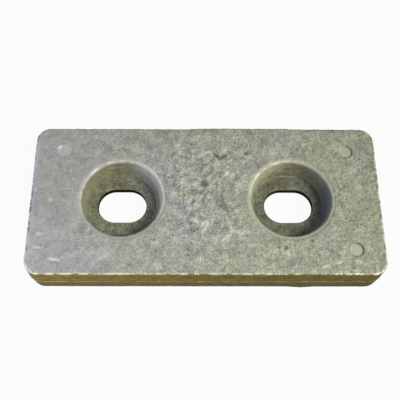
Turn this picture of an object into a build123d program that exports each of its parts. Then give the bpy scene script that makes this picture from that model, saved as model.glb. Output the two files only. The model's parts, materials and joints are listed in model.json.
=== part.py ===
"""Sacrificial anode for a ship's hull: a block of cast zinc on a slotted steel strap.

The block lies on its back face, which goes against the hull. The strap is cast into
it. Two round recesses in the top face reach down to the strap, and two pockets in the
back face reach up to it, so a stud and nut clamp the steel alone.

Millimetres. X runs along the block and Z points away from the hull. The origin is the
middle of the back face.
"""

from build123d import *
import os
from math import radians, tan

# The zinc block, whose length and width are those of its top face
block_length = 205.0
block_width = 92.5
block_thickness = 25.0
corner_r = 8.5
top_edge_r = 1.2
back_edge_r = 0.8
upper_draft = 3.0
lower_draft = 1.5

# The ridge of metal left where the two halves of the mould met
flash_proud = 0.3
flash_height = 0.8

# The recesses that a washer and nut go into
hole_pitch = 100.0
recess_floor_d = 40.7
recess_depth = 13.0
recess_draft = 8.0
recess_rim_r = 1.75
recess_foot_height = 3.7
recess_foot_slope = 26.5

# The pockets behind the strap
pocket_d = 40.0
pocket_draft = 8.0
pocket_rim_r = 1.0

# The steel strap and its slots
strap_length = 170.0
strap_width = 38.0
strap_thickness = 3.5
slot_length = 29.0
slot_width = 21.0
slot_edge_r = 0.4

# The round marks of the pins that pushed the block out of its mould
mark_d = 8.0
mark_depth = 0.35
mark_pitch_x = 171.0
mark_pitch_y = 61.0

# Levels and sizes that follow from the ones above
strap_top = block_thickness - recess_depth
strap_bottom = strap_top - strap_thickness
parting = strap_top
recess_wall_d = recess_floor_d + 2 * recess_foot_height * tan(radians(recess_foot_slope))
recess_wall_height = recess_depth - recess_foot_height
upper_flare = recess_depth * tan(radians(upper_draft))
parting_length = block_length + 2 * upper_flare
parting_width = block_width + 2 * upper_flare
parting_corner_r = corner_r + upper_flare

os.makedirs("parts", exist_ok=True)


with BuildPart() as zinc_casting:
    # The mould halves part level with the strap's upper face, so each draft starts there
    with BuildSketch(Plane.XY.offset(parting)) as parting_outline:
        RectangleRounded(parting_length, parting_width, parting_corner_r)
    extrude(amount=block_thickness - parting, taper=upper_draft)
    extrude(parting_outline.sketch, amount=-parting, taper=lower_draft)
    fillet(zinc_casting.edges().group_by(Axis.Z)[-1], top_edge_r)
    fillet(zinc_casting.edges().group_by(Axis.Z)[0], back_edge_r)

    # Flash along the parting line
    with BuildSketch(Plane.XY.offset(parting - flash_height / 2)):
        RectangleRounded(
            parting_length + 2 * flash_proud,
            parting_width + 2 * flash_proud,
            parting_corner_r + flash_proud,
        )
    extrude(amount=flash_height)

    # Recesses, shaped by the bevelled pins that held the strap down in the mould
    with BuildSketch(Plane.XY.offset(strap_top)):
        with GridLocations(hole_pitch, 0, 2, 1):
            Circle(recess_floor_d / 2)
    extrude(amount=recess_foot_height, taper=-recess_foot_slope, mode=Mode.SUBTRACT)
    with BuildSketch(Plane.XY.offset(strap_top + recess_foot_height)):
        with GridLocations(hole_pitch, 0, 2, 1):
            Circle(recess_wall_d / 2)
    extrude(amount=recess_wall_height, taper=-recess_draft, mode=Mode.SUBTRACT)
    circles = zinc_casting.edges().filter_by(GeomType.CIRCLE)
    mouths = circles.filter_by_position(Axis.Z, block_thickness, block_thickness)
    fillet(mouths.sort_by(SortBy.RADIUS)[-2:], recess_rim_r)

    # Pockets behind the strap
    with BuildSketch(Plane.XY.offset(strap_bottom)):
        with GridLocations(hole_pitch, 0, 2, 1):
            Circle(pocket_d / 2)
    extrude(amount=-strap_bottom, taper=-pocket_draft, mode=Mode.SUBTRACT)
    circles = zinc_casting.edges().filter_by(GeomType.CIRCLE)
    mouths = circles.filter_by_position(Axis.Z, 0, 0)
    fillet(mouths.sort_by(SortBy.RADIUS)[-2:], pocket_rim_r)

    # The metal closes round the strap on every side
    with BuildSketch(Plane.XY.offset(strap_bottom)):
        Rectangle(strap_length, strap_width)
    extrude(amount=strap_thickness, mode=Mode.SUBTRACT)

    # Pin marks near the four corners
    with BuildSketch(Plane.XY.offset(block_thickness)):
        with GridLocations(mark_pitch_x, mark_pitch_y, 2, 2):
            Circle(mark_d / 2)
    extrude(amount=-mark_depth, mode=Mode.SUBTRACT)


with BuildPart() as steel_strap:
    with BuildSketch(Plane.XY.offset(strap_bottom)):
        Rectangle(strap_length, strap_width)
        with GridLocations(hole_pitch, 0, 2, 1):
            SlotOverall(slot_length, slot_width, mode=Mode.SUBTRACT)
    extrude(amount=strap_thickness)

    # The punch went in from above, so it drew the upper edge of each slot round
    upper_face = steel_strap.faces().sort_by(Axis.Z)[-1]
    fillet(upper_face.inner_wires().edges(), slot_edge_r)


zinc_casting.part.label = "zinc_casting"
steel_strap.part.label = "steel_strap"

export_step(zinc_casting.part, "parts/zinc_casting.step")
export_step(steel_strap.part, "parts/steel_strap.step")

for piece in (zinc_casting.part, steel_strap.part):
    box = piece.bounding_box()
    print(piece.label, round(piece.volume / 1000, 2), "cm3", box.size, len(piece.solids()), piece.is_valid)
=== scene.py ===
# %% [markdown]
# # A zinc anode for a ship's hull
#
# A block of zinc is bolted to a steel hull and is eaten away in the steel's place. It is one
# casting, poured round a slotted steel strap. Two round recesses in its top face reach down
# to the strap, so that the nuts clamp the steel and stay tight while the zinc goes.
#
# The CAD model gives every size and place. It arrives as a frame of two nodes: the casting
# and the strap. The strap's shape is right as it is, so it only needs a finish. The casting
# gets a new mesh here, because a cast skin is never as flat and sharp as a CAD solid.

# %% load the frame
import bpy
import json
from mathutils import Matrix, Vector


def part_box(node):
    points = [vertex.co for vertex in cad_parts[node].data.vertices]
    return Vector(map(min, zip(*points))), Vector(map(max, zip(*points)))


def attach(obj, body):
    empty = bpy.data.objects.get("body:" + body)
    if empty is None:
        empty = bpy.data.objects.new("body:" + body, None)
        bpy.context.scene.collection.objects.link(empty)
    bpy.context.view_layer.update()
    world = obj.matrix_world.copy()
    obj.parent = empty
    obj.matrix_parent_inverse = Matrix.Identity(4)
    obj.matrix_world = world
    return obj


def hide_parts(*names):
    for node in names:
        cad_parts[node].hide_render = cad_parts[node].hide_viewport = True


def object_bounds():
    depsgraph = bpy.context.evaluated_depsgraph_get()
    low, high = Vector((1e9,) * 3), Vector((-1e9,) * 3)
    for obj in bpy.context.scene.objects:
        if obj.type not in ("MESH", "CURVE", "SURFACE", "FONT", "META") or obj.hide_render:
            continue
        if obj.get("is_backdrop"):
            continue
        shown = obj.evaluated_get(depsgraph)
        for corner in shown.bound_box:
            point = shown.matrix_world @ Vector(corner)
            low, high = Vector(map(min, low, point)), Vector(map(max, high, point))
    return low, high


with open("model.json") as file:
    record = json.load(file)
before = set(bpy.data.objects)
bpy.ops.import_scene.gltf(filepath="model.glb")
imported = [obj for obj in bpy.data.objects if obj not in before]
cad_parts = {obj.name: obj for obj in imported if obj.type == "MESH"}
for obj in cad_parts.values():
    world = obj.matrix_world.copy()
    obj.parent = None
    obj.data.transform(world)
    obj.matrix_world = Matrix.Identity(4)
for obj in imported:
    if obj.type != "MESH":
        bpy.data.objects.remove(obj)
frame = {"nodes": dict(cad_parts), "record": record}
cad_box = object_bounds()
print("CAD box", cad_box)

# %% [markdown]
# Sizes are easiest to read in millimetres, while Blender works in metres here. So the steps
# below think in millimetres and multiply by `mm` where a mesh or a lamp is made. The sizes
# that the frame can tell are read from it, and the rest are the pattern maker's own numbers.

# %% sizes
import bmesh
import bpy
import json
from math import asin, atan2, cos, degrees, exp, hypot, pi, radians, sin, sqrt, tan
from mathutils import Matrix, Vector
from mathutils.geometry import delaunay_2d_cdt

mm = 0.001
strap_low, strap_high = (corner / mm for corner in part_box("steel_strap"))
block_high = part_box("zinc_casting")[1] / mm
slots = next(m for m in frame["record"]["mounts"] if m["name"] == "fixing_slots")["dims"]

top_z = block_high.z
strap_top = strap_high.z
strap_bottom = strap_low.z
strap_half_length = strap_high.x
strap_half_width = strap_high.y
hole_x = slots["spacing_x_mm"] / 2
slot_half_width = slots["hole_r_mm"]
slot_half_length = slots["slot_length_mm"] / 2
print("top", round(top_z, 2), "strap", round(strap_bottom, 2), "to", round(strap_top, 2))

# %% [markdown]
# ## The camera
#
# A camera can be placed by its own coordinates, or by the point that it aims at, how far back
# it stands and how steeply it looks down. The second way is used, because each number then
# means something. The picture was taken from above and slightly left of the middle, and the
# camera was held a little crooked. The shift is tiny: it only centres the view.

# %% camera
def new_object(name, data):
    """Puts a mesh, a lamp or a camera into the scene as an object."""
    made = bpy.data.objects.new(name, data)
    bpy.context.collection.objects.link(made)
    return made


aim_point = Vector((-5.46, -1.35, 25.0)) * mm
camera_distance = 365.3 * mm
camera_elevation = radians(67.345)
camera_turn = radians(1.215)
camera_roll = radians(1.26)

forward = Vector((sin(camera_turn) * cos(camera_elevation),
                  cos(camera_turn) * cos(camera_elevation),
                  -sin(camera_elevation)))
level = Vector((cos(camera_turn), -sin(camera_turn), 0))
above = level.cross(forward)
across = cos(camera_roll) * level + sin(camera_roll) * above
upward = cos(camera_roll) * above - sin(camera_roll) * level

camera_data = bpy.data.cameras.new("camera")
camera_data.lens = 56.34
camera_data.sensor_width = 36
camera_data.shift_x = 0.0089
camera_data.shift_y = 0.0002
camera = new_object("camera", camera_data)
camera.matrix_world = Matrix((across, upward, -forward)).transposed().to_4x4()
camera.location = aim_point - camera_distance * forward
bpy.context.scene.camera = camera
print("camera at", [round(v / mm) for v in camera.location], "mm")

# %% [markdown]
# ## The floor and the light
#
# The block lies on white paper that is lit to pure white. More light would bleach the zinc as
# well, so the paper is made to glow for the rays that the eye sees, straight or in a
# reflection. A share of plain white stays in it, which keeps a soft shadow under the block.

# %% helpers for node trees
def add(kind, *fed, give=0, **named):
    """A new node in the tree at hand, the one that `tree` names. What comes without a name
    feeds its inputs in order, and what has a capitalised name feeds the input called so: a
    number, a colour, or another node's output, which is linked. A name in small letters is a
    setting. Returns the first output, or the one that `give` names."""
    made = tree.nodes.new(kind)
    feeds = dict(enumerate(fed))
    for name, value in named.items():
        if name.islower():
            setattr(made, name, value)
        else:
            feeds[name] = value
    for name, value in feeds.items():
        if isinstance(value, bpy.types.NodeSocket):
            tree.links.new(value, made.inputs[name])
        elif value is not None:
            made.inputs[name].default_value = value
    return made.outputs[give] if made.outputs else None


def calc(operation, first, *others):
    """The first value and each other one in turn, joined by Math nodes."""
    for value in others or (0.0,):
        first = add("ShaderNodeMath", first, value, operation=operation)
    return first


def times(*values):
    """All the values multiplied together."""
    return calc("MULTIPLY", *values)


def plus(*values):
    """All the values added up."""
    return calc("ADD", *values)


def paint(red, green, blue):
    """A colour as a paint chart or a photograph gives it, turned into Blender's own scale."""
    def linear(level):
        level = level / 255
        return level / 12.92 if level <= 0.04045 else ((level + 0.055) / 1.055) ** 2.4
    return (linear(red), linear(green), linear(blue), 1)


def seen_ray():
    """1 for a ray that the eye sees, straight, in a reflection or through glass, else 0."""
    path = add("ShaderNodeLightPath").node.outputs
    return calc("MAXIMUM", path["Is Glossy Ray"], path["Is Transmission Ray"],
                path["Is Camera Ray"])


# %% floor
reach = 3.0
level_z = -0.05 * mm
corners = [(-reach, -reach), (reach, -reach), (reach, reach), (-reach, reach)]
floor_mesh = bpy.data.meshes.new("paper")
floor_mesh.from_pydata([(x, y, level_z) for x, y in corners], [], [(0, 1, 2, 3)])
paper = new_object("paper", floor_mesh)

white = (1, 1, 1, 1)
white_paper = bpy.data.materials.new("white_paper")
white_paper.use_nodes = True
tree = white_paper.node_tree
tree.nodes.clear()
sheet_face = add("ShaderNodeBsdfDiffuse", Color=paint(176, 174, 166))
glow = add("ShaderNodeEmission", Color=white, Strength=1.0)
blend = add("ShaderNodeMixShader", times(seen_ray(), 0.95), sheet_face, glow)
add("ShaderNodeOutputMaterial", Surface=blend)
floor_mesh.materials.append(white_paper)
paper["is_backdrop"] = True
print("floor", 2 * reach, "m across")

# %% [markdown]
# The light is that of a small photo table. A broad lamp stands to the right, so the left walls
# of the recesses are warm and bright while the right walls lie in shadow. What reaches those
# is the dim bluish light of the room. A weak cool lamp stands low and close on the left: it
# tints that end of the block and grazes the upper right wall of the near recess. Each lamp is
# placed by its direction and distance, and its power is worked out from how brightly it
# should light a white card in the middle of the table.

# %% room and lamps
room = bpy.data.worlds.new("room")
bpy.context.scene.world = room
room.use_nodes = True
tree = room.node_tree
tree.nodes.clear()
dim_walls = add("ShaderNodeBackground", Color=(0.82, 0.89, 1.08, 1), Strength=0.24)
white_walls = add("ShaderNodeBackground", Color=white, Strength=1.0)
blend = add("ShaderNodeMixShader", seen_ray(), dim_walls, white_walls)
add("ShaderNodeOutputWorld", Surface=blend)


def lamp(name, azimuth, elevation, distance, width, brightness, colour):
    """A square lamp that lights a white card facing it to that brightness. The light on the
    card is the lamp's power over the square of pi times the distance. Azimuth 0 is the front,
    towards -Y, and 90 is the right, towards +X."""
    data = bpy.data.lights.new(name, "AREA")
    data.size = width
    data.color = colour
    data.energy = brightness * (pi * distance) ** 2
    made = new_object(name, data)
    azimuth, elevation = radians(azimuth), radians(elevation)
    towards = Vector((sin(azimuth) * cos(elevation), -cos(azimuth) * cos(elevation),
                      sin(elevation)))
    made.location = towards * distance
    made.rotation_euler = towards.to_track_quat("Z", "Y").to_euler()
    print(name, round(data.energy, 1), "W")


lamp("warm_lamp", azimuth=68, elevation=50, distance=1.3, width=0.45, brightness=1.0,
     colour=(1.0, 0.97, 0.90))
lamp("cool_lamp", azimuth=-60, elevation=14, distance=0.28, width=0.10, brightness=0.28,
     colour=(0.74, 0.77, 1.0))

# %% [markdown]
# ## The casting
#
# The outside of the block is a rounded rectangle whose size changes with height, because both
# halves of the mould are tapered. It could be a box with modifiers, but then its rings would
# not fall where the edge, the flash line and the tapers need them. So the outline is set out
# once, as spots on a core rectangle with a direction out of each, and every ring of the side
# is that same outline moved out by its own radius. All the vertices go into one list, each
# with the marks that its skin and finish need, from 0 to 1:
#
# - `free`, how far it may leave the CAD shape, and `calm`, how smooth it is
# - `film` and `stain`, the brown film of the outer sides and the olive one of the recesses
# - `worn`, `dirt` and `pale`: bare metal and painted highlights,
#   dirt and painted shade, pale zinc and painted light
# - `edge`, `verge`, `ridge` and `flow`, for the top edge, the strip along it, the flash line
#   and the flow marks

# %% lists that the casting grows in
spots = []
faces = []
mark_names = "free film stain calm worn edge verge ridge flow dirt pale".split()
marks = {name: [] for name in mark_names}


def add_spot(x, y, z, **amounts):
    """One vertex, in millimetres, with its marks. Returns its number."""
    spots.append((x, y, z))
    for name, values in marks.items():
        values.append(amounts.get(name, 0.0))
    return len(spots) - 1


def bridge(ring, next_ring):
    """Joins two closed rings of the same length with a band of four-sided faces."""
    for i in range(len(ring)):
        j = (i + 1) % len(ring)
        faces.append((ring[i], ring[j], next_ring[j], next_ring[i]))


def ramp(low, high, value):
    """0 below low, 1 above high, and a smooth climb between them."""
    share = min(1.0, max(0.0, (value - low) / (high - low)))
    return share * share * (3 - 2 * share)


# %% outline of the block
top_length = 205.0
top_width = 92.5
corner_r = 8.5
core_x = top_length / 2 - corner_r
core_y = top_width / 2 - corner_r
outline_step = 0.85


def outline_spots():
    """Spots round the core rectangle, each with the direction that points straight out."""
    corner_steps = round(corner_r * pi / 2 / outline_step)
    found = []
    sides = [(core_x, core_y, 0), (-core_x, core_y, 90), (-core_x, -core_y, 180),
             (core_x, -core_y, 270)]
    for k, (x, y, start) in enumerate(sides):
        for i in range(corner_steps + 1):
            turn = radians(start + 90 * i / corner_steps)
            found.append((x, y, cos(turn), sin(turn)))
        next_x, next_y, _ = sides[(k + 1) % 4]
        run = hypot(next_x - x, next_y - y)
        steps = round(run / outline_step)
        turn = radians(start + 90)
        for i in range(1, steps):
            share = i / steps
            found.append((x + (next_x - x) * share, y + (next_y - y) * share,
                          cos(turn), sin(turn)))
    return found


outline = outline_spots()
print(len(outline), "spots round the block")

# %% [markdown]
# The side's profile, from the top down: a small rounded edge, a taper of 3 degrees down to
# where the mould halves met, a taper of 1.5 degrees back in below it, and a rounded back
# edge. The rings are close together at the edges and round the flash line, where the shape
# turns fast, and wide apart on the plain tapers.

# %% profile of the side
upper_angle = radians(3.0)
upper_draft = tan(upper_angle)
lower_draft = tan(radians(1.5))
top_edge_r = 1.2
back_edge_r = 0.8
parting_r = corner_r + (top_z - strap_top) * upper_draft
flash_zone = 1.0
upper_row_gap = 0.9
lower_row_gap = 1.2


def side_rings():
    """(radius, height, marks) of each ring, from the top edge down to the back edge."""
    rings = []
    centre_z = top_z - top_edge_r
    centre_r = corner_r + top_edge_r * upper_draft - top_edge_r / cos(upper_angle)
    # The rounded top edge carries the wear mark, which is bare metal and a painted highlight
    # along it.
    for degree in (0, 10, 22, 35, 48, 61, 74, 87):
        turn = radians(degree)
        share = sin(turn) ** 2
        rings.append((centre_r + top_edge_r * sin(turn), centre_z + top_edge_r * cos(turn),
                      dict(free=1, film=share * 0.9, worn=sin(2 * turn), edge=sin(2 * turn),
                           verge=1)))
    z = centre_z - 0.4
    while z > strap_top + flash_zone + 0.2:
        near_edge = ramp(1.5, 0, centre_z - z)
        rings.append((corner_r + (top_z - z) * upper_draft, z,
                      dict(free=1, film=1, worn=0.25 * near_edge, edge=0.3 * near_edge)))
        z -= upper_row_gap
    # Round the flash line the wear mark is bare metal and a painted highlight on the ridge.
    for rise in (1.0, 0.75, 0.5, 0.3, 0.12, -0.12, -0.3, -0.5, -0.75, -1.0):
        radius = parting_r - rise * (upper_draft if rise > 0 else -lower_draft)
        crest = ramp(0.6, 0.1, abs(rise))
        worn = 0.3 * ramp(1.0, 0.3, abs(rise))
        rings.append((radius, strap_top + rise, dict(free=1, film=1, ridge=crest, worn=worn)))
    z = strap_top - 2 * flash_zone
    while z > back_edge_r + lower_row_gap / 2:
        rings.append((parting_r - (strap_top - z) * lower_draft, z, dict(free=1, film=1)))
        z -= lower_row_gap
    back_centre_r = parting_r - (strap_top - back_edge_r) * lower_draft - back_edge_r
    for degree in (0, 22, 45, 67, 90):
        turn = radians(degree)
        rings.append((back_centre_r + back_edge_r * cos(turn),
                      back_edge_r - back_edge_r * sin(turn),
                      dict(free=1 - degree / 90, film=1)))
    return rings


def bulged(x, y, z, out_y):
    """The block isn't quite straight: its back edge swells a little near the top, and on the
    front a run of metal stands out just above the back face."""
    if out_y > 0.9:
        y += 0.5 * ramp(-14, 4, x) * ramp(62, 44, x) * ramp(8, 20, z)
    if out_y < -0.9:
        y -= 0.5 * exp(-((x - 56) / 5) ** 2) * ramp(7, 2, z)
    return y


rings = []
for radius, z, amounts in side_rings():
    ring = []
    for x, y, out_x, out_y in outline:
        here = dict(amounts)
        # Along the top edge the wear mark and its painted highlight are kept to the front, and
        # the edge is darker along the back and the right.
        behind = ramp(0.2, 0.9, out_y)
        here["dirt"] = amounts.get("edge", 0) * (0.5 * behind + 0.35 * ramp(0.5, 1, out_x))
        here["worn"] = amounts.get("worn", 0) * (1 - 0.8 * behind)
        here["verge"] = amounts.get("verge", 0) * ramp(0.3, 0.8, abs(out_x))
        ring_y = bulged(x, y + radius * out_y, z, out_y)
        ring.append(add_spot(x + radius * out_x, ring_y, z, **here))
    rings.append(ring)
for ring, next_ring in zip(rings, rings[1:]):
    bridge(ring, next_ring)
top_outline = rings[0]
back_outline = rings[-1]
print(len(rings), "rings down the side")

# %% [markdown]
# The recesses are turned shapes, so each is a profile spun round the middle of its slot: a
# rounded rim, a wall with 8 degrees of taper and a bevelled foot, shaped by the pin that held
# the strap down in the mould. The spin could be a Screw modifier. Here it is done by hand,
# because the foot's vertices have to fall exactly where the strap's edges cross the circle.

# %% recesses
rim_r = 1.75
wall_angle = radians(8.0)
wall_draft = tan(wall_angle)
foot_r = 20.35
foot_rise = 3.7
foot_slope = tan(radians(26.5))
wall_r = foot_r + foot_rise * foot_slope


def circle_turns(radius, count):
    """Turns round a circle, with one at each place where the strap's long edges cross it."""
    crossing = asin(strap_half_width / radius)
    stops = [crossing, pi - crossing, pi + crossing, 2 * pi - crossing, 2 * pi + crossing]
    turns = []
    for start, stop in zip(stops, stops[1:]):
        steps = max(2, round(count * (stop - start) / (2 * pi)))
        turns += [start + (stop - start) * i / steps for i in range(steps)]
    return turns


def distance(number, x, y):
    """How far a vertex lies from the upright line through x and y."""
    return hypot(spots[number][0] - x, spots[number][1] - y)


def recess_profile():
    """(radius, height, marks) down from the mouth to the foot on the strap."""
    profile = []
    centre_z = top_z - rim_r
    low = strap_top + foot_rise
    centre_r = wall_r + (centre_z - low) * wall_draft + rim_r / cos(wall_angle)
    for degree in (0, 12, 24, 36, 48, 60, 71, 82):
        turn = radians(degree)
        share = sin(turn)
        profile.append((centre_r - rim_r * sin(turn), centre_z + rim_r * cos(turn),
                        dict(free=1 - 0.7 * share, stain=0.8 * ramp(0.2, 1.0, share),
                             calm=0.8, worn=0.25 * sin(2 * turn))))
    gap = 0.7
    row_step = 0.8
    z = centre_z - gap
    while z > low + gap:
        profile.append((wall_r + (z - low) * wall_draft, z,
                        dict(free=0.4, stain=1, calm=0.6 * ramp(low, centre_z, z))))
        z -= row_step
    bend = 0.5
    profile.append((wall_r + bend * wall_draft, low + bend, dict(free=0.4, stain=1)))
    profile.append((wall_r - 0.06, low, dict(free=0.3, stain=0.9, worn=0.08)))
    # The bevel and the foot are darker towards the strap: painted shade in the crease of the
    # recess.
    for drop in (0.45, 1.1, 1.8, 2.4, 2.9):
        profile.append((wall_r - drop * foot_slope, low - drop,
                        dict(free=0.3, stain=1, dirt=0.12 + 0.06 * drop)))
    for out, up, free in ((0.25, 0.42, 0.2), (0.1, 0.15, 0.1), (0, 0, 0)):
        profile.append((foot_r + out, strap_top + up, dict(free=free, stain=1, dirt=0.35)))
    return profile


def stained(side, turn):
    """How much of the olive film there is on this side of a recess: most on the left, and
    hardly any on the right, where the left recess has painted light and the right one painted
    shade."""
    away = cos(turn - radians(-12 if side > 0 else -2))
    return 0.08 + 0.92 * ramp(0.8 if side > 0 else 0.7, -0.25, away)


def wall_light(side, turn, z):
    """Painted light on the wall here: a pool of it on the right wall of the left recess, higher
    up, as from the cool lamp on the left, and a weaker one at the back left of the right
    recess.
    The rims get a little painted highlight at the back left too."""
    high = ramp(strap_top + 2.0, strap_top + 7.5, z)
    near_mouth = ramp(top_z, top_z - 1.6, z)
    rim = 0.15 * ramp(top_z - 2.4, top_z - 0.8, z) * ramp(-0.2, 1, cos(turn - 2.4))
    if side < 0:
        shine = ramp(0.5, 0.97, cos(turn - 0.42)) * (0.4 + 0.6 * high)
        return max(rim, shine * (0.6 + 0.4 * near_mouth))
    return max(rim, 0.55 * ramp(0.55, 0.95, cos(turn - 2.45)) * high * (0.4 + 0.6 * near_mouth))


def turned_marks(side, turn, z, stain=0, dirt=0, worn=0, **others):
    """The marks of one vertex: those of the profile, changed by the way that it faces. The
    painted light, painted shade and painted highlight of the recesses depend on it.
    """
    pale = wall_light(side, turn, z) if z > strap_top else 0
    # The right recess gets painted shade on its right wall, which faces away from the lamp on
    # the right.
    if side > 0:
        dirt = max(dirt, stain * 0.7 * ramp(0.6, 0.97, cos(turn + 0.2)))
    # The rims get a painted highlight at the back left, through the wear mark.
    return dict(others, stain=stain * stained(side, turn), dirt=dirt * (1 - 0.6 * pale),
                pale=pale, worn=worn * (0.6 + 1.2 * ramp(0.3, 1, cos(turn - 2.2))))


def turned(profile, centre_x, turns, drift=0.0):
    """A profile spun round an upright line. Returns its first and its last ring. The first
    may lie a little to the right of the last, by the drift."""
    spun = []
    last_z = profile[-1][1]
    depth = profile[0][1] - last_z
    for radius, z, amounts in profile:
        ring = []
        middle = centre_x + drift * (z - last_z) / depth
        for turn in turns:
            ring.append(add_spot(middle + radius * cos(turn), radius * sin(turn), z,
                                 **turned_marks(centre_x, turn, z, **amounts)))
        spun.append(ring)
    for ring, next_ring in zip(spun, spun[1:]):
        bridge(ring, next_ring)
    return spun[0], spun[-1]


def at_both_holes(profile, turns, drift=0.0):
    """The profile spun at the left hole and at the right one. Returns their two first rings
    and their two last ones. Only the left mouth drifts."""
    left = turned(profile, -hole_x, turns, drift)
    right = turned(profile, hole_x, turns)
    return zip(left, right)


left_drift = 0.8
recess_turns = circle_turns(foot_r, 200)
recess_mouths, recess_feet = at_both_holes(recess_profile(), recess_turns, left_drift)
mouth_r = distance(recess_mouths[1][0], hole_x, 0)
print("mouth", round(2 * mouth_r, 2), "mm wide, foot", round(2 * foot_r, 2))

# %% [markdown]
# Behind the strap the block is open too, so that the strap can seat on the stud's own pad.
# These pockets can't be seen from the front. They are plain: the same taper and a rounded
# mouth.

# %% pockets behind the strap
pocket_r = 20.0
pocket_rim_r = 1.0


def pocket_profile():
    """(radius, height, marks) from the strap's underside down to the mouth in the back."""
    profile = []
    rows = 6
    end_z = pocket_rim_r * (1 - sin(wall_angle))
    for i in range(rows + 1):
        z = strap_bottom + (end_z - strap_bottom) * i / rows
        profile.append((pocket_r + (strap_bottom - z) * wall_draft, z,
                        dict(free=min(1, i / 2) * 0.6, film=0.7)))
    centre_r = profile[-1][0] + pocket_rim_r * cos(wall_angle)
    for degree in (30, 52, 74, 90):
        turn = radians(degree)
        profile.append((centre_r - pocket_rim_r * cos(turn),
                        pocket_rim_r - pocket_rim_r * sin(turn),
                        dict(free=0.5 * (1 - degree / 90), film=0.7)))
    return profile


pocket_turns = circle_turns(pocket_r, 120)
pocket_ceilings, pocket_mouths = at_both_holes(pocket_profile(), pocket_turns)
print("pockets", len(pocket_turns), "spots round")

# %% [markdown]
# The zinc closed round the strap on every side, so the mesh has the strap's own space left
# out of it. Its roof and its bed are each in three parts, one beyond each hole and one
# between them. Outside the strap's edges a thin sliver of zinc is left in each recess: those
# are the flat bits of floor beyond the straight lines in the picture.

# %% the strap's bed in the zinc
def strap_space(circles, turns, radius, z):
    """The flat faces at one level of the strap's space. Returns, for each long side, the
    vertices along its edge, from left to right."""
    ends = {}
    for x in (-strap_half_length, strap_half_length):
        for y in (-strap_half_width, strap_half_width):
            ends[x > 0, y > 0] = add_spot(x, y, z)
    arcs = []
    edge = strap_half_width - 1e-6
    count = len(turns)
    upper = [k for k in range(count) if radius * sin(turns[k]) >= edge]
    lower = [k for k in range(count) if radius * sin(turns[k]) <= -edge]
    right_up, left_up, left_down, right_down = upper[0], upper[-1], lower[0], lower[-1]
    for circle in circles:
        right = [circle[k % count] for k in range(right_down, right_up + count + 1)]
        left = [circle[k] for k in range(left_up, left_down + 1)]
        faces.append(tuple(circle[k] for k in upper))
        faces.append(tuple(circle[k] for k in lower))
        arcs.append((left, right))
    (left_a, right_a), (left_b, right_b) = arcs
    faces.append((ends[False, False], ends[False, True]) + tuple(left_a))
    faces.append(tuple(right_a) + tuple(left_b))
    faces.append((ends[True, True], ends[True, False]) + tuple(right_b))
    top_side = [ends[False, True], left_a[0], right_a[-1], left_b[0], right_b[-1],
                ends[True, True]]
    low_side = [ends[False, False], left_a[-1], right_a[0], left_b[-1], right_b[0],
                ends[True, False]]
    return top_side, low_side


roof_sides = strap_space(recess_feet, recess_turns, foot_r, strap_top)
bed_sides = strap_space(pocket_ceilings, pocket_turns, pocket_r, strap_bottom)
for roof_side, bed_side in zip(roof_sides, bed_sides):
    for i in range(len(roof_side) - 1):
        faces.append((roof_side[i], roof_side[i + 1], bed_side[i + 1], bed_side[i]))
for k in (0, -1):
    faces.append((roof_sides[0][k], roof_sides[1][k], bed_sides[1][k], bed_sides[0][k]))
print("strap space closed,", len(faces), "faces so far")

# %% [markdown]
# ## Knocks and pin marks on the top face
#
# Four round marks near the corners are left by the pins that push the casting out of its
# mould. Besides them the picture shows single knocks and pits, and each is listed where it
# is. A knock is a small hollow, longer than wide and turned some way. It is either
# old and dirty, or fresh, and then bare metal shines in it.

# %% list of knocks
pin_r = 4.0
pin_depth = 0.35
knocks = []


def knock(x, y, length, width, turn=0, depth=0.25, dirt=0.0, worn=0.0):
    """Sets down one hollow, or a bump where depth is below nought, in millimetres."""
    knocks.append((x, y, length / 2, width / 2, radians(turn), depth, dirt, worn))


# the chisel mark like a vee, and the pit right of it
knock(6.5, 27.5, 6.2, 1.7, turn=-44, depth=0.45, dirt=0.95)
knock(10.2, 27, 5.2, 1.7, turn=36, depth=0.45, dirt=0.95)
knock(24.1, 29.4, 2.3, 1.9, depth=0.35, dirt=0.85)
# dark hollows in the flow marks of the middle
knock(-4.2, 25, 4.6, 2.8, turn=-20, depth=0.3, dirt=0.45)
knock(-1.3, 9.5, 4.2, 3.6, turn=-30, depth=0.5, dirt=0.85)
knock(6.3, 9.1, 1.8, 3.6, turn=15, depth=0.3, dirt=0.5)
knock(-7.6, -2.3, 2, 4.2, turn=-15, depth=0.3, dirt=0.6)
knock(11.7, -7, 1.8, 5.6, turn=25, depth=0.3, dirt=0.55)
knock(9.2, 0.4, 1.7, 4.4, turn=20, dirt=0.45)
knock(-18.8, 19.9, 2.4, 4.2, turn=10, dirt=0.4)
knock(-16.4, 6.5, 4.2, 2.2, turn=70, dirt=0.35)
knock(3.4, 18.3, 1.8, 4.6, turn=-20, dirt=0.35)
knock(-1.9, -1, 1.8, 3.8, turn=-10, dirt=0.4)
knock(19, 33, 3, 2, turn=10, dirt=0.4)
knock(-12, 32, 4, 1.8, turn=5, depth=0.2, dirt=0.3)
# little raised runs that catch the light
knock(11, -24.5, 5, 1.7, turn=40, depth=-0.2, worn=0.5)
knock(14.8, -20.8, 3, 1.7, turn=-10, depth=-0.2, worn=0.6)
knock(-22, 15.5, 4.2, 1.7, turn=25, depth=-0.2, worn=0.5)
knock(13.3, 16.8, 4.8, 1.6, turn=60, depth=-0.25, worn=0.75)
knock(15.7, 13.2, 3.2, 1.7, turn=-25, depth=-0.25, worn=0.75)
knock(-2, -22.6, 1.7, 5, turn=10, depth=-0.2, worn=0.55)
knock(-10.3, 12.9, 5, 1.8, turn=35, depth=-0.2, worn=0.5)
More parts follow.
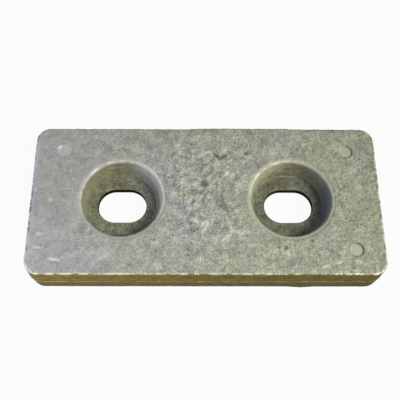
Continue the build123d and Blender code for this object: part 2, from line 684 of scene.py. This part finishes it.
# the gouge and the flecks on the left
knock(-65.7, -20.3, 2, 5, turn=-20, dirt=0.4)
knock(-67.4, -19.4, 1.7, 3.6, turn=-20, depth=-0.12, worn=0.35)
knock(-90.9, -1.1, 2.2, 1.8, depth=-0.1, worn=0.6)
knock(-95.6, -22.1, 4, 1.6, turn=-10, depth=-0.1, worn=0.5)
knock(-95.6, -30.4, 4.4, 1.5, turn=-4, depth=-0.1, worn=0.7)
knock(-86.3, -37.3, 5.2, 1.6, turn=-10, depth=-0.12, worn=1)
knock(-85.3, -39, 5.4, 1.7, turn=-8, depth=0.15, dirt=0.3)
knock(-88.1, 33, 3.6, 1.5, turn=50, depth=-0.1, worn=1)
# pits and light scratches on the right
knock(45.1, -30.2, 2.2, 1.8, turn=30, depth=0.3, dirt=0.7)
knock(41, -29.7, 1.6, 1.8, depth=0.2, dirt=0.5)
knock(60.3, -26.1, 1.8, 1.6, depth=0.2, dirt=0.6)
knock(66.8, -41.5, 4.6, 1.6, turn=20, depth=-0.15, worn=0.6)
knock(74.3, -39.1, 5, 1.6, turn=12, depth=-0.15, worn=0.55)
knock(86.1, -38.5, 4, 1.6, turn=-15, depth=-0.15, worn=0.7)
print(len(knocks), "knocks")


# %% height and marks of the top face at one place
def at_knocks(x, y):
    """How deep the knocks are here, and how dirty and how worn they leave the zinc."""
    deep = dirt = worn = 0.0
    for kx, ky, half_length, half_width, turn, depth, knock_dirt, knock_worn in knocks:
        along = ((x - kx) * cos(turn) + (y - ky) * sin(turn)) / half_length
        aside = ((y - ky) * cos(turn) - (x - kx) * sin(turn)) / half_width
        near = along * along + aside * aside
        if near < 6:
            fall = exp(-0.7 * near * near)
            deep += depth * fall
            dirt = max(dirt, knock_dirt * fall)
            worn = max(worn, knock_worn * fall)
    return deep, dirt, worn


pin_marks = []


def pin_mark(x, y, clear, pale):
    """Sets down one pin mark: where it lies, how clear it is and how pale."""
    pin_marks.append((x, y, clear, pale))


pin_mark(-84.2, 30.6, clear=0.6, pale=0.2)
pin_mark(84.5, 30.5, clear=1.2, pale=0.0)
pin_mark(-85.2, -31.3, clear=0.4, pale=0.04)
pin_mark(85.4, -31.5, clear=1.5, pale=0.15)


def nearest_pin(x, y):
    """The nearest pin mark: how far to the right and up the place is from it, and how clear
    and how pale the mark is."""
    px, py, clear, pale = min(pin_marks, key=lambda pin: hypot(x - pin[0], y - pin[1]))
    return x - px, y - py, clear, pale


def at_pin_mark(x, y):
    """1 inside a pin mark and 0 outside with a short slope between, and its painted shadow, a
    dark crescent in the corner of the mark that is away from the front left. Only the marks on
    the right get it."""
    across, along, _, _ = nearest_pin(x, y)
    away = hypot(across, along)
    inside = ramp(pin_r + 0.15, pin_r - 0.45, away)
    if not pin_r - 1.4 < away < pin_r + 0.4 or x < 0:
        return inside, 0.0
    turn = degrees(atan2(along, across))
    ring = ramp(pin_r - 1.3, pin_r - 0.4, away) * ramp(pin_r + 0.4, pin_r, away)
    return inside, ring * ramp(85, 40, abs(turn - 25))


def past_core(x, y):
    """How far outside the core rectangle a place lies."""
    return hypot(max(0.0, abs(x) - core_x), max(0.0, abs(y) - core_y))


def from_hole(x, y, drift):
    """How far a place is from the middle of the nearer hole. The left one may be moved."""
    return min(hypot(x - hole_x, y), hypot(x + hole_x - drift, y))


def top_spot(x, y):
    """A vertex of the top face, with the knocks and the pin marks in its height."""
    deep, dirt, worn = at_knocks(x, y)
    pin, pin_shadow = at_pin_mark(x, y)
    _, _, clear, pin_pale = nearest_pin(x, y)
    # The pin marks' painted shadow joins the dark mark here.
    dirt = max(dirt, 0.7 * pin_shadow)
    pin_calm = pin * min(1, 1.2 * clear)
    flow = ramp(25, 15, abs(x)) * ramp(-30, -18, y) * ramp(36, 27, y)
    from_mouth = from_hole(x, y, left_drift) - mouth_r
    from_right = core_x + corner_r - x
    from_back = core_y + corner_r - y
    border = max(ramp(9, 0, from_right), ramp(6, 0, from_back))
    near_end = ramp(core_x - 2, core_x + 4, abs(x))
    verge = ramp(2.2, 0.2, corner_r - past_core(x, y)) * near_end
    return add_spot(x, y, top_z - deep - pin * pin_depth * clear, free=1 - 0.7 * pin, dirt=dirt,
                    worn=worn * (0.4 + 0.6 * flow), flow=flow * (1 - pin), film=0.14 * border,
                    verge=verge, calm=max(pin_calm, 0.8 * ramp(1.3, 0.2, from_mouth)),
                    pale=max(pin_pale * pin, 0.85 * worn * (1 - flow)))


# %% [markdown]
# The top face could be a plain grid, but a grid doesn't end cleanly on a rounded outline and
# two circles. A Delaunay triangulation takes any set of points and joins them into well
# shaped triangles that keep the given borders. The points are a honeycomb, which has no
# direction of its own, with extra ones where a knock or a pin mark needs them.

# %% top and back faces
def honeycomb(step, edge_gap, hole_gap, drift=0.0):
    """Points of a honeycomb that lie inside the outline and clear of both holes."""
    found = []
    row_step = step * sqrt(3) / 2
    rows = int(top_width / 2 / row_step) + 1
    columns = int(top_length / 2 / step) + 1
    for j in range(-rows, rows + 1):
        for i in range(-columns, columns + 1):
            x = i * step + (step / 2 if j % 2 else 0)
            y = j * row_step
            if past_core(x, y) < edge_gap and from_hole(x, y, drift) > hole_gap:
                found.append((x, y))
    return found


def fill_plate(borders, inner, make_spot):
    """Fills the space inside the first border and outside the others with triangles. One that
    has all its corners on one hole's border lies inside that hole, so it is left out."""
    numbers = []
    edges = []
    on_border = []
    for k, border in enumerate(borders):
        first = len(numbers)
        numbers += border
        on_border += [k] * len(border)
        edges += [(first + i, first + (i + 1) % len(border)) for i in range(len(border))]
    numbers += [make_spot(x, y) for x, y in inner]
    on_border += [0] * len(inner)
    flat = [Vector(spots[n][:2]) for n in numbers]
    kept = 0
    for a, b, c in delaunay_2d_cdt(flat, edges, [], 1, 1e-6)[2]:
        if not (on_border[a] == on_border[b] == on_border[c] > 0):
            faces.append((numbers[a], numbers[b], numbers[c]))
            kept += 1
    return kept


top_step = 0.64
ring_spots = 64
outer_r = distance(top_outline[0], core_x, core_y)
inner = honeycomb(top_step, outer_r - 0.45, mouth_r + 0.45, left_drift)
pin_rings = [pin_r + offset for offset in (-0.5, -0.25, -0.05, 0.15, 0.4)]
inner = [(x, y) for x, y in inner
         if not pin_rings[0] - 0.2 < hypot(*nearest_pin(x, y)[:2]) < pin_rings[-1] + 0.2]
for pin_x, pin_y, _, _ in pin_marks:
    for radius in pin_rings:
        for k in range(ring_spots):
            turn = 2 * pi * k / ring_spots
            inner.append((pin_x + radius * cos(turn), pin_y + radius * sin(turn)))
print(fill_plate([top_outline, *recess_mouths], inner, top_spot), "triangles on top")


def back_spot(x, y):
    """A vertex of the back face, which lies flat on the hull."""
    return add_spot(x, y, 0.0, free=0.3, film=0.6)


back_step = 3.0
back_r = distance(back_outline[0], core_x, core_y)
back_hole_r = distance(pocket_mouths[1][0], hole_x, 0)
inner = honeycomb(back_step, back_r - back_step / 2, back_hole_r + back_step / 2)
print(fill_plate([back_outline, *pocket_mouths], inner, back_spot), "triangles behind")

# %% [markdown]
# All the faces are in one list now, so they become one mesh. A closed mesh has exactly two
# faces on every edge, and that is counted, because a gap would show as a dark crack and would
# spoil the printed part. The normals are then turned outwards.

# %% one closed mesh
casting_mesh = bpy.data.meshes.new("zinc_skin")
casting_mesh.from_pydata([Vector(spot) * mm for spot in spots], [], faces)
body = bmesh.new()
body.from_mesh(casting_mesh)
bmesh.ops.recalc_face_normals(body, faces=body.faces)
open_edges = sum(1 for edge in body.edges if len(edge.link_faces) != 2)
volume = body.calc_volume() / mm ** 3 / 1000
body.to_mesh(casting_mesh)
body.free()
for name, values in marks.items():
    layer = casting_mesh.attributes.new(name, "FLOAT", "POINT")
    layer.data.foreach_set("value", values)
casting_mesh.shade_smooth()
casting = new_object("zinc_skin", casting_mesh)
print("open edges", open_edges, "volume", round(volume, 1), "cm3,", len(faces), "faces")

# %% [markdown]
# ## The cast skin
#
# Zinc that sets in a steel mould wrinkles a little as it cools. The skin has long soft waves,
# a pebbled grain, flow marks in the middle, where two streams of metal met, an uneven top
# edge, and a thin ridge of flash that comes and goes along the mould line. All of these are
# rules that follow the surface, so Geometry Nodes make them: each is a noise texture times
# its own amount, and the vertices move along their normals by the sum.
#
# The tree also writes two results on the vertices for the finish to read: `relief`, how high
# or low the skin is, and `crest`, where the flash stands proud.

# %% nodes for the skin
skin = bpy.data.node_groups.new("cast_skin", "GeometryNodeTree")
skin.is_modifier = True
tree = skin


def skin_socket(name, kind="Float", value=None, in_out="INPUT"):
    """A named input of the tree, or its output."""
    made = skin.interface.new_socket(name, in_out=in_out, socket_type="NodeSocket" + kind)
    if value is not None:
        made.default_value = value


skin_socket("Geometry", "Geometry")
for name, height in (("Waves", 0.12), ("Pebbles", 0.12), ("Grain", 0.08), ("Flow Marks", 0.45),
                     ("Ragged Edge", 0.8), ("Flash", 0.3)):
    skin_socket(name, value=height * mm)
skin_socket("Seed", value=4)
skin_socket("Material", "Material")
skin_socket("Geometry", "Geometry", in_out="OUTPUT")
given = add("NodeGroupInput").node.outputs
place = add("GeometryNodeInputPosition")


def mark(name):
    """The number that a vertex carries under this name."""
    return add("GeometryNodeInputNamedAttribute", Name=name, data_type="FLOAT",
               give="Attribute")


def ripple(size, detail=1, distortion=0):
    """Noise from -1 to 1 whose humps are about that many millimetres across."""
    noise = add("ShaderNodeTexNoise", Vector=place, W=given["Seed"], Scale=1 / (size * mm),
                Detail=detail, Distortion=distortion, noise_dimensions="4D")
    return times(calc("SUBTRACT", noise, 0.5), 2)


wave_part = times(ripple(28), given["Waves"])
pebble_part = times(ripple(3.4), given["Pebbles"])
grain_part = times(ripple(1.1), given["Grain"])
folds = times(calc("ABSOLUTE", ripple(7, detail=1.5, distortion=0.9)), 5)
folds = calc("MAXIMUM", calc("SUBTRACT", 1, folds), 0)
hollows = calc("MINIMUM", calc("SUBTRACT", ripple(4.2, detail=1.5), 0.05), 0)
flow_noise = plus(times(folds, 0.35), times(hollows, 1.6))
flow_part = times(flow_noise, mark("flow"), given["Flow Marks"])
fine_part = plus(pebble_part, grain_part, flow_part)
edge_noise = calc("MINIMUM", calc("SUBTRACT", ripple(3.2, detail=2), 0.1), 0)
edge_part = times(edge_noise, mark("edge"), given["Ragged Edge"])
flash_noise = calc("MAXIMUM", plus(ripple(9, detail=2), 0.15), 0)
flash_share = calc("MINIMUM", times(flash_noise, 2.2), 1)
crest = times(flash_share, mark("ridge"))
rough_part = plus(wave_part, fine_part, edge_part)
sunk_part = calc("SUBTRACT", rough_part, 0.16 * mm)
all_parts = plus(times(sunk_part, mark("free")), times(crest, given["Flash"]))

# %% [markdown]
# The tree's last nodes write the two results and move the vertices. A cap at the height of
# the top face rubs the highest spots flat, as handling does, and keeps the block's thickness.
# A tree that scatters copies of something has to end in Realize Instances, because the export
# drops instances. It has no instances, but the node costs nothing and keeps the habit. Set
# Material comes last.

# %% end of the skin tree
def stored(geometry, name, value):
    """Writes a number on every vertex under this name, and returns the geometry."""
    return add("GeometryNodeStoreNamedAttribute", Geometry=geometry, Name=name, Value=value,
               data_type="FLOAT", domain="POINT")


relief = times(fine_part, 1 / (0.1 * mm))
marked = stored(stored(given["Geometry"], "relief", relief), "crest", crest)
push = add("ShaderNodeVectorMath", add("GeometryNodeInputNormal"), Scale=all_parts,
           operation="SCALE")
pushed = add("ShaderNodeVectorMath", place, push, operation="ADD")
capped = add("ShaderNodeVectorMath", pushed, (1, 1, top_z * mm), operation="MINIMUM")
moved = add("GeometryNodeSetPosition", Geometry=marked, Position=capped)
real = add("GeometryNodeRealizeInstances", moved)
coated = add("GeometryNodeSetMaterial", Geometry=real, Material=given["Material"])
add("NodeGroupOutput", coated)
print(len(skin.nodes), "nodes in the skin tree")

# %% [markdown]
# ## The zinc's finish
#
# Fresh zinc is bright, but it soon grows a dull bloom. On the top face that bloom is mottled:
# a slow drift from a neutral grey on the left to a greener grey on the right, partly painted
# cool light on the left, with pale and dark specks a millimetre or two across. On the sides and
# in the recesses the mould's dressing left an olive-brown film. Where the block rubs against
# others, at its edges and on the flash, the bare metal shows and is brighter and smoother, and
# a painted highlight brightens the front edge, the rims and the flash further. Painted light
# and painted shade lie in the recesses and round the pin marks.
#
# One material does all of it. It reads the place on the block from Object coordinates, and
# the marks that the mesh carries say where the film and the bare metal are. The helpers work
# on the material at hand: `tree` and `shader` are its own, `where` is the place on the block,
# and `part` holds that place's X, Y and Z.

# %% material helpers
def new_metal(name):
    """A material with one metal shader in it. Returns the material, its tree and shader."""
    made = bpy.data.materials.new(name)
    made.use_nodes = True
    return made, made.node_tree, made.node_tree.nodes["Principled BSDF"]


def feed(name, value):
    """Links a node's output to this input of the shader at hand."""
    tree.links.new(value, shader.inputs[name])


def attribute(name):
    """A mark of the mesh, read by a material."""
    return add("ShaderNodeAttribute", attribute_name=name, give="Fac")


def mottle(size, detail=2, distortion=0, roughness=0.5, scale=None):
    """Noise from 0 to 1 whose blotches are about that many millimetres across. A scale below
    1 stretches them along that axis."""
    spot = add("ShaderNodeMapping", where, Scale=scale) if scale else where
    return add("ShaderNodeTexNoise", Vector=spot, Scale=1 / (size * mm), Detail=detail,
               Distortion=distortion, Roughness=roughness)


def spread(value, low, high, to_low=0, to_high=1):
    """Stretches the range from low to high onto another one, and clamps it there."""
    return add("ShaderNodeMapRange", value, low, high, to_low, to_high)


def by_place(axis, low, high, to_low=0, to_high=1):
    """The same for the place along an axis, with low and high in millimetres."""
    return spread(part[axis], low * mm, high * mm, to_low, to_high)


def mixed(share, first, second, way="MIX"):
    """Two colours mixed by a share. The node has them in its sockets 6 and 7."""
    between = [None] * 5
    return add("ShaderNodeMix", share, *between, first, second, data_type="RGBA",
               blend_type=way, give=2)


def shaded(colour, factor):
    """A colour multiplied by a number, to make it darker or lighter."""
    grey = add("ShaderNodeCombineColor", factor, factor, factor)
    return mixed(1, colour, grey, way="MULTIPLY")


# %% colour of the zinc
cast_zinc, tree, shader = new_metal("cast_zinc")
where = add("ShaderNodeTexCoord", give="Object")
part = add("ShaderNodeSeparateXYZ", where).node.outputs

tint_noise = mottle(30, detail=1)
# The drift to a greener grey on the right is partly painted cool light on the left.
greenness = plus(by_place("X", -90, 60, -0.15, 0.9), spread(tint_noise, 0.3, 0.7, -0.2, 0.35))
zinc_colour = mixed(spread(greenness, 0, 1), paint(153, 153, 150), paint(148, 152, 130))
hue = mottle(9)
zinc_colour = mixed(spread(hue, 0.52, 0.70, 0, 0.3), zinc_colour, paint(146, 145, 154))
zinc_colour = mixed(spread(hue, 0.48, 0.32, 0, 0.25), zinc_colour, paint(160, 157, 130))

# %% [markdown]
# The mottle is made of things that are multiplied: soft clouds, flecks, fine sand, the relief
# of the skin, painted as light on its rises and as shade in its hollows, and dark pits. All of
# them are stronger in the middle and on the right than on the left, and almost nothing where
# the skin is calm, as on the rims of the recesses. Slower changes of shade across the block
# come on top: painted light makes the top lighter towards the front, and painted shade makes
# it darker towards the right end.

# %% mottle of the zinc
cloud = mottle(6, detail=3, distortion=0.8)
fleck = mottle(1.7, roughness=0.6)
sand = mottle(0.75, detail=1)
relief = attribute("relief")
calm = attribute("calm")
dirt = attribute("dirt")
flowing = attribute("flow")
mottling = times(by_place("X", -95, -10, 0.5, 1), spread(calm, 0, 1, 1, 0.2),
                 spread(dirt, 0, 0.6, 1, 0.4))
sandy = times(mottling, spread(flowing, 0, 1, 1, 0.6))
shades = 1
# The relief row paints shade in the skin's hollows and light on its rises.
for noise, low, high, amount, strength in ((cloud, 0.3, 0.7, 0.24, mottling),
                                           (fleck, 0.3, 0.7, 0.22, mottling),
                                           (sand, 0.25, 0.75, 0.38, sandy),
                                           (relief, -2.5, 2.5, 0.30, mottling)):
    swing = spread(noise, low, high, -amount, amount)
    shades = times(shades, plus(times(swing, strength), 1))
pit_share = times(spread(mottle(1.9, detail=1), 0.36, 0.25, 0, 0.55), mottling)
patch = mottle(13)
# Painted light makes the top lighter towards the front, and painted shade darker towards the
# right end.
shades = times(shades, calc("SUBTRACT", 1, pit_share), spread(patch, 0.3, 0.7, 0.92, 1.08),
               by_place("Y", 46, -46, 1.05, 1.18), by_place("X", 20, 95, 1, 0.86),
               spread(flowing, 0, 1, 1, 1.1))
zinc_colour = shaded(zinc_colour, shades)
to_right = by_place("X", -60, 60)
smooth_colour = mixed(to_right, paint(163, 163, 167), paint(176, 178, 158))
zinc_colour = mixed(times(calm, 0.4), zinc_colour, smooth_colour)
# Painted cool light on the left end of the block, a lavender tint like the lamp on the left.
left_end_cool_light = by_place("X", -98.5, -102, 0, 0.65)
zinc_colour = mixed(left_end_cool_light, zinc_colour, paint(178, 182, 206))

# %% [markdown]
# The films, the painted light, the dirt with painted shade, and the bare metal with its painted
# highlight are laid over the bloom one after the other. Each is broken up by a noise, because a
# stain with a clean border looks painted on.

# %% film, stain, painted light, dirt and painted shade, bare metal and painted highlight
film_noise = mottle(3, detail=3, roughness=0.6)
film_colour = mixed(spread(film_noise, 0.35, 0.65), paint(108, 92, 14), paint(126, 110, 34))
film_colour = mixed(by_place("X", 0, 100, 0, 0.8), film_colour, paint(112, 96, 0))
streak = mottle(1.4, detail=4, roughness=0.65, scale=(0.22, 0.22, 1))
# The film is painted darker towards the right and low down: painted shade, as the light falls
# off to the right and the lower taper faces down.
film_colour = shaded(film_colour, times(by_place("X", -60, 100, 1.03, 0.68),
                                        by_place("Z", 7, 14, 0.78, 1.12),
                                        spread(streak, 0.32, 0.68, 0.66, 1.36)))
film_share = times(attribute("film"), spread(film_noise, 0.25, 0.5, 1, 0.95))

stain_colour = mixed(spread(film_noise, 0.3, 0.7), paint(108, 110, 66), paint(148, 147, 114))
yellower = by_place("X", -54, -68, 0, 0.6)
stain_colour = mixed(yellower, stain_colour, paint(134, 140, 96))
band = mottle(2.4, detail=3, roughness=0.7, scale=(0.5, 0.5, 2.2))
stain_colour = shaded(stain_colour, spread(band, 0.34, 0.66, 0.64, 1.44))
stain_share = times(attribute("stain"), spread(film_noise, 0.25, 0.6, 1, 0.75))

# Painted light, lavender in the left recess and yellower in the right one. The same colour also
# pales the pin marks and the bright flecks.
pale_and_lit_colour = mixed(to_right, paint(234, 228, 230), paint(204, 202, 160))
pale_and_lit_share = times(attribute("pale"), spread(film_noise, 0.3, 0.6, 1, 0.7))
# In the right recess, below its mouth, the dark colour is painted shade, a dim blue like the
# room's light.
blue_shade_place = times(by_place("X", 55, 62), by_place("Z", 24.2, 22.5))
dirt_and_shade_colour = mixed(blue_shade_place, paint(60, 63, 63), paint(98, 102, 132))

bare_noise = mottle(4, detail=4, roughness=0.7)
bare_and_glint_share = times(attribute("worn"), spread(bare_noise, 0.42, 0.56))
chip = mottle(2.4, roughness=0.6)
verge = attribute("verge")
chip_dark = times(verge, spread(chip, 0.47, 0.40, 0, 0.75))
chip_light = times(verge, spread(chip, 0.54, 0.60, 0, 0.6))

# The bare colour is near white: bare metal and a painted highlight. The crest's lighter colour
# is the flash's bare metal and a painted highlight on it.
layers = [(film_share, film_colour), (stain_share, stain_colour), (pale_and_lit_share, pale_and_lit_colour),
          (times(dirt, 0.85), dirt_and_shade_colour), (bare_and_glint_share, paint(232, 226, 204)),
          (times(attribute("crest"), 0.8), paint(174, 156, 90)),
          (chip_dark, paint(84, 84, 72)), (chip_light, paint(205, 206, 200))]
for share, colour in layers:
    zinc_colour = mixed(share, zinc_colour, colour)
feed("Base Color", zinc_colour)

# %% roughness and grain of the zinc
smoother = times(bare_and_glint_share, 0.2)
feed("Roughness", calc("SUBTRACT", spread(cloud, 0.3, 0.7, 0.68, 0.56), smoother))
feed("Metallic", spread(bare_and_glint_share, 0, 1, 0.1, 0.5))
feed("Specular IOR Level", spread(film_share, 0, 1, 0.35, 0.08))
grain = mottle(0.8, roughness=0.6)
pebble = mottle(2.6, detail=3, distortion=0.5, roughness=0.6)
fold = calc("ABSOLUTE", spread(mottle(6.5, distortion=1), 0.3, 0.7, -1, 1))
fold = times(spread(fold, 0, 0.35, 1, 0), flowing)
height = times(plus(times(grain, 0.35), pebble), mottling)
height = plus(height, times(fold, 0.4))
feed("Normal", add("ShaderNodeBump", Strength=1, Distance=1 * mm, Height=height))
print("zinc:", len(tree.nodes), "nodes")

# %% [markdown]
# The skin is now put on the casting. A modifier's inputs are set by their identifiers, which
# stay the same when an input is renamed. The result is read back as a plain mesh, so that the
# object holds exactly what is seen here.

# %% skin applied
modifier = casting.modifiers.new("cast_skin", "NODES")
modifier.node_group = skin
for item in skin.interface.items_tree:
    if item.in_out == "INPUT" and item.name == "Material":
        modifier[item.identifier] = cast_zinc
bpy.context.view_layer.update()
depsgraph = bpy.context.evaluated_depsgraph_get()
finished = bpy.data.meshes.new_from_object(casting.evaluated_get(depsgraph))
casting.modifiers.clear()
casting.data = finished
finished.name = "zinc_skin"
print("materials", [m.name for m in finished.materials], len(finished.vertices), "vertices")
finished.calc_loop_triangles()
print(len(finished.loop_triangles), "triangles")

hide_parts("zinc_casting")
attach(casting, "root")

# %% [markdown]
# ## The strap's finish
#
# The strap is flat steel bar, dipped in zinc and then half covered by the casting. What shows
# in the recesses is greyer than the casting, with the same olive film on it, and the right of
# each floor is greyer and speckled, darker and bluer in the right recess: painted shadow of the
# recess's right wall. The slots were punched, and their cut edges are painted dark: scaled
# steel and painted shade inside the slot.
# How near a place is to a slot's edge comes from a little geometry: the distance to a line as
# long as the slot's straight part.

# %% distance from a slot's edge
strap_steel, tree, shader = new_metal("strap_steel")
shader.inputs["Metallic"].default_value = 0.15
where = add("ShaderNodeTexCoord", give="Object")
part = add("ShaderNodeSeparateXYZ", where).node.outputs
half_run = (slot_half_length - slot_half_width) * mm
past_hole = calc("SUBTRACT", calc("ABSOLUTE", part["X"]), hole_x * mm)
past_run = calc("MAXIMUM", calc("SUBTRACT", calc("ABSOLUTE", past_hole), half_run), 0)
from_line = calc("SQRT", plus(times(past_run, past_run), times(part["Y"], part["Y"])))
cut = spread(from_line, (slot_half_width + 0.12) * mm, (slot_half_width + 0.45) * mm, 1, 0)
print("slot edge", slot_half_width, "mm from its line of", 2 * half_run / mm, "mm")

# %% colour of the strap
blotch = mottle(5, detail=3, distortion=0.6)
steel_colour = mixed(spread(blotch, 0.35, 0.65), paint(94, 94, 70), paint(116, 118, 103))
speck = mottle(1.4, detail=3, roughness=0.75)
steel_colour = shaded(steel_colour, spread(speck, 0.36, 0.64, 0.52, 1.5))
steel_colour = shaded(steel_colour, by_place("X", -10, 10, 1.22, 0.86))
hole_middle = by_place("X", -1, 1, -hole_x * mm, hole_x * mm)
# The right of each floor: dark specks and painted shadow from the recess's right wall, lighter
# grey in the left recess and a darker blue-grey in the right one.
grime_and_shadow = plus(calc("SUBTRACT", part["X"], hole_middle), times(blotch, 10 * mm))
grime_and_shadow = spread(grime_and_shadow, 14 * mm, 21 * mm, 0, 0.5)
grime_and_shadow_colour = mixed(by_place("X", -1, 1), paint(134, 134, 128), paint(92, 96, 94))
steel_colour = mixed(grime_and_shadow, steel_colour, grime_and_shadow_colour)
crumb_shade = spread(mottle(1, roughness=0.6), 0.38, 0.62, 0.2, 1.8)
crumb_share = times(grime_and_shadow, by_place("X", -1, 1, 1.6, 0.7))
steel_colour = mixed(crumb_share, steel_colour, shaded(steel_colour, crumb_shade))
edge_line = spread(calc("ABSOLUTE", part["Y"]), (strap_half_width - 0.6) * mm,
                   strap_half_width * mm, 0, 0.5)
steel_colour = mixed(edge_line, steel_colour, paint(70, 68, 50))
# The slots' cut edges: dark scaled steel and painted shade inside the slot.
steel_colour = mixed(cut, steel_colour, paint(22, 22, 12))
feed("Base Color", steel_colour)
feed("Specular IOR Level", spread(cut, 0, 1, 0.3, 0))
feed("Roughness", spread(blotch, 0.3, 0.7, 0.6, 0.48))
scale_grain = mottle(0.9, detail=3, roughness=0.7)
feed("Normal", add("ShaderNodeBump", Strength=0.6, Distance=0.15 * mm, Height=scale_grain))
strap = frame["nodes"]["steel_strap"]
strap.data.materials.clear()
strap.data.materials.append(strap_steel)
print("strap:", len(tree.nodes), "nodes")

# %% [markdown]
#
# The view transform is Standard, so that colours come out as they are written. The CAD
# model's box and the dressed part's box are printed side by side. The dressed part has to
# stay inside the CAD model's box.

# %% sizes and finish
bpy.context.scene.view_settings.view_transform = "Standard"
seen_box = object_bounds()
for name, box in (("CAD", cad_box), ("seen", seen_box)):
    print(name, [[round(v / mm, 2) for v in corner] for corner in box])
